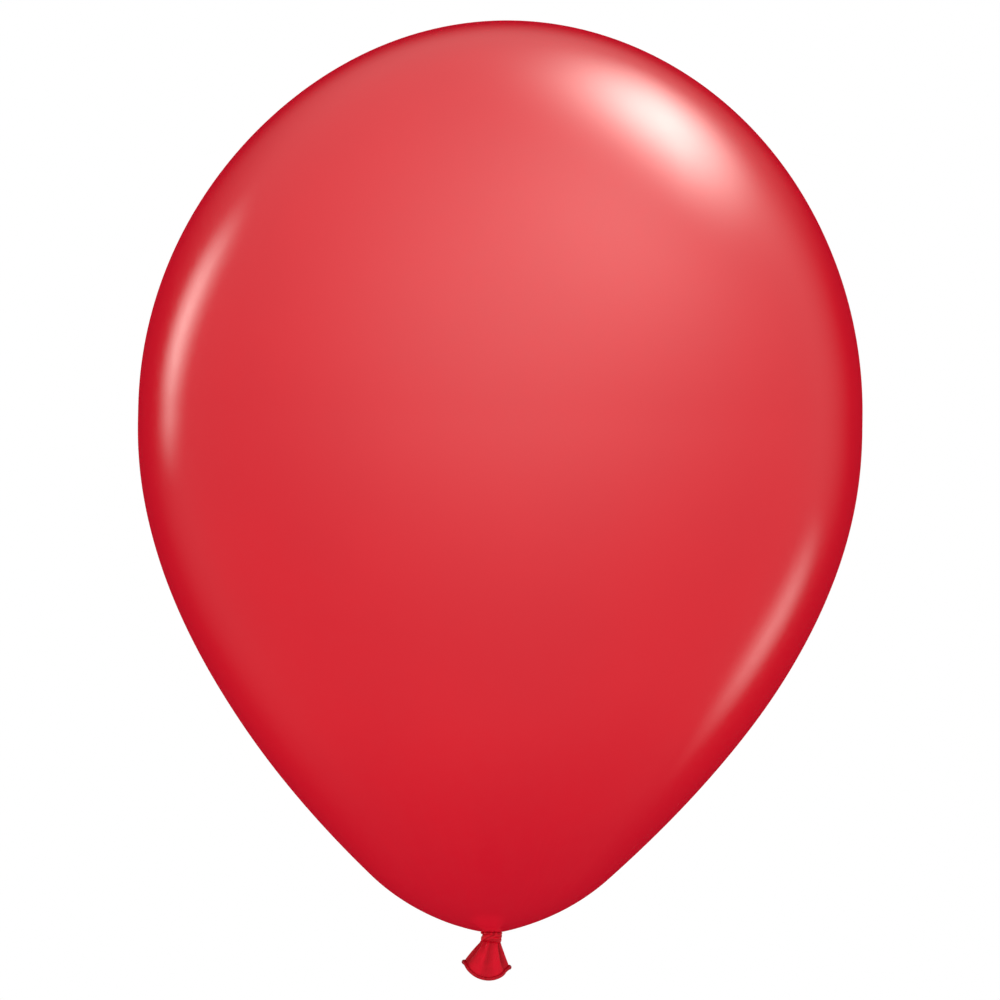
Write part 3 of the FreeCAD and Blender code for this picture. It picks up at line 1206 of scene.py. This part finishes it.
@dataclass(frozen=True)
class Surround:
    """What surrounds the balloon: even white light, and soft boxes that only the gloss picks up.

    Angles are in degrees. Each dark patch lies straight behind the balloon, and is given as its
    elevation, how far from its middle it is fully dark, and how far out it has faded away.
    """

    glows: tuple[Glow, ...] = (
        Glow(azimuth=127.0, elevation=55.0, tightness=28.0, strength=8.0),
        Glow(azimuth=10.0, elevation=40.0, tightness=1.4, strength=2.7),
        Glow(azimuth=60.0, elevation=50.0, tightness=7.0, strength=1.5),
    )
    window: SoftBox = SoftBox(
        azimuth=126.0, elevation=49.0, half_width=18.0, half_height=6.5, edge=27.0, strength=4.3, roll=-9.0
    )
    left_strip: SoftBox = SoftBox(
        azimuth=-128.0, elevation=12.0, half_width=3.0, half_height=11.0, edge=18.0, strength=5.0, roll=-11.0
    )
    right_strip: SoftBox = SoftBox(
        azimuth=129.0, elevation=-23.0, half_width=4.0, half_height=8.5, edge=14.0, strength=2.0, roll=-4.0
    )
    dark_from: float = 120.0
    dark_to: float = 150.0
    dark_below: float = 6.0
    light_above: float = 42.0
    dark_patches: tuple[Station, ...] = ((-63.0, 17.0, 51.0), (4.0, 10.0, 32.0))
    warmth: Colour = (1.0, 1.0, 0.92)

    def dark_behind(self, graph: Graph, way: bpy.types.NodeSocket) -> bpy.types.NodeSocket:
        """The unlit far end of the room, as a share to multiply the glows by.

        Args:
            graph: the world's graph.
            way: the direction looked in.

        Returns:
            The share's socket, 0 where it is dark.
        """
        parts = graph.add("ShaderNodeSeparateXYZ")
        graph.feed(parts.inputs[0], way)
        ahead = graph.maths("MULTIPLY", parts.outputs["Y"], -1.0)
        azimuth = graph.maths("ABSOLUTE", graph.maths("ARCTAN2", parts.outputs["X"], ahead))
        elevation = graph.maths("ARCSINE", parts.outputs["Z"])
        side = graph.ramp(azimuth, math.radians(self.dark_from), math.radians(self.dark_to))
        low = graph.ramp(elevation, math.radians(self.dark_below), math.radians(self.light_above), 1.0, 0.0)
        share = graph.maths("SUBTRACT", 1.0, graph.maths("MULTIPLY", side, low))
        for height, core, edge in self.dark_patches:
            angle = graph.maths("ARCCOSINE", graph.dot(way, direction(180.0, height)))
            patch = graph.ramp(angle, math.radians(core), math.radians(edge))
            share = graph.maths("MULTIPLY", share, patch)
        return share

    def build(self) -> None:
        """Makes the world."""
        world = bpy.data.worlds.new("studio_surround")
        bpy.context.scene.world = world
        world.use_nodes = True
        world.node_tree.nodes.clear()
        world.cycles.sampling_method = "NONE"
        graph = Graph(world.node_tree)
        way = graph.add("ShaderNodeTexCoord").outputs["Generated"]
        total = self.glows[0].brightness(graph, way)
        for glow in self.glows[1:]:
            total = graph.maths("ADD", total, glow.brightness(graph, way))
        total = graph.maths("MULTIPLY", total, self.dark_behind(graph, way))
        boxes = (self.window, self.left_strip, self.right_strip)
        for box in boxes:
            total = graph.maths("ADD", total, box.brightness(graph, way))
        path = graph.add("ShaderNodeLightPath")
        unseen = graph.maths("SUBTRACT", 1.0, path.outputs["Is Camera Ray"])
        gloss = graph.maths("MULTIPLY", path.outputs["Is Glossy Ray"], unseen)
        even = graph.maths("SUBTRACT", 1.0, gloss)
        level = graph.maths("MULTIPLY_ADD", total, gloss, even)
        light = graph.add("ShaderNodeBackground")
        graph.feed(light.inputs["Color"], graph.blend(gloss, (1.0, 1.0, 1.0), self.warmth))
        graph.feed(light.inputs["Strength"], level)
        out = graph.add("ShaderNodeOutputWorld")
        graph.feed(out.inputs["Surface"], light.outputs["Background"])
        LOG.info("surround: %d glows, %d soft boxes", len(self.glows), len(boxes))


@dataclass(frozen=True)
class Floor:
    """A pale floor under the balloon that fades into the white round it. Lengths are in metres."""

    below: float = 0.082
    radius: float = 1.5
    fade_from: float = 0.35
    fade_to: float = 1.42
    pale: Colour = (0.86, 0.86, 0.865)
    shade: Colour = (0.82, 0.82, 0.825)

    def finish(self) -> bpy.types.Material:
        """Matt pale paper, clear at the rim.

        Returns:
            The material.
        """
        material, graph = new_material("floor_paper")
        place = graph.add("ShaderNodeTexCoord").outputs["Object"]
        away = graph.vector("LENGTH", place).outputs["Value"]
        cloud = graph.noise(place, 2.5, 3.0)
        paper = graph.add("ShaderNodeBsdfPrincipled")
        graph.feed(paper.inputs["Base Color"], graph.blend(cloud, self.pale, self.shade))
        graph.feed(paper.inputs["Roughness"], 0.9)
        graph.feed(paper.inputs["Specular IOR Level"], 0.0)
        clear = graph.add("ShaderNodeBsdfTransparent")
        mix = graph.add("ShaderNodeMixShader")
        graph.feed(mix.inputs[0], graph.ramp(away, self.fade_from, self.fade_to))
        graph.feed(mix.inputs[1], paper.outputs["BSDF"])
        graph.feed(mix.inputs[2], clear.outputs["BSDF"])
        out = graph.add("ShaderNodeOutputMaterial")
        graph.feed(out.inputs["Surface"], mix.outputs[0])
        return material

    def build(self, lowest: float) -> None:
        """Makes the floor.

        Args:
            lowest: the height of the balloon's lowest point.
        """
        disc = bmesh.new()
        bmesh.ops.create_circle(disc, cap_ends=True, segments=96, radius=self.radius)
        mesh = bpy.data.meshes.new("floor")
        disc.to_mesh(mesh)
        disc.free()
        mesh.materials.append(self.finish())
        obj = bpy.data.objects.new("floor", mesh)
        obj.location = (0.0, 0.0, lowest - self.below)
        obj.visible_glossy = False
        obj.visible_diffuse = False
        bpy.context.scene.collection.objects.link(obj)
        obj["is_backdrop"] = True


@dataclass(frozen=True)
class KeyLight:
    """One large overhead soft light, for the shadow on the floor. Lengths are in metres."""

    place: tuple[float, float, float] = (0.35, -0.45, 1.9)
    size: float = 0.7
    power: float = 1.2

    def build(self, target: Vector) -> None:
        """Makes the light.

        Args:
            target: the point that it faces.
        """
        lamp = bpy.data.lights.new("overhead_soft_light", "AREA")
        lamp.shape = "DISK"
        lamp.size = self.size
        lamp.energy = self.power
        obj = bpy.data.objects.new("overhead_soft_light", lamp)
        obj.location = self.place
        obj.rotation_mode = "QUATERNION"
        obj.rotation_quaternion = (target - obj.location).to_track_quat("-Z", "Y")
        obj.visible_glossy = False
        bpy.context.scene.collection.objects.link(obj)


@dataclass(frozen=True)
class PortraitCamera:
    """A long lens, level with the balloon's middle and rolled a little, so that the balloon leans."""

    distance: float = 4.0
    sensor: float = 36.0
    frame_share: float = 1.0440
    aside: float = 0.00046
    lower: float = 0.0002
    lean: float = 0.97

    def build(self, low: Vector, high: Vector) -> None:
        """Makes the camera and sets it as the scene's own.

        Args:
            low: the object's lowest corner.
            high: the object's highest corner.
        """
        data = bpy.data.cameras.new("portrait_camera")
        data.sensor_width = self.sensor
        data.lens = self.sensor * self.distance / ((high.z - low.z) * self.frame_share)
        obj = bpy.data.objects.new("portrait_camera", data)
        roll = math.radians(self.lean)
        right = Vector((math.cos(roll), 0.0, math.sin(roll)))
        up = Vector((-math.sin(roll), 0.0, math.cos(roll)))
        back = Vector((0.0, -1.0, 0.0))
        aim = Vector((self.aside, 0.0, (low.z + high.z) / 2 - self.lower))
        turn = Matrix((right, up, back)).transposed().to_4x4()
        obj.matrix_world = Matrix.Translation(aim + back * self.distance) @ turn
        bpy.context.scene.collection.objects.link(obj)
        bpy.context.scene.camera = obj


def main() -> None:
    """Builds the balloon, the studio and the camera."""
    logging.basicConfig(level=logging.INFO, format="%(message)s")
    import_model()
    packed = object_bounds()
    low, high = packed
    bpy.context.scene.view_settings.view_transform = "Standard"

    finishes = Finishes.build()
    tail = Tail()
    Skin().build(finishes.skin)
    Throat().build(finishes.gathered)
    Knot().build(finishes.gathered)
    tail.build(finishes.relaxed)
    Lip().build(tail, finishes.rolled)

    Surround().build()
    Floor().build(low.z)
    KeyLight().build((low + high) / 2)
    PortraitCamera().build(low, high)


if __name__ == "__main__":
    main()
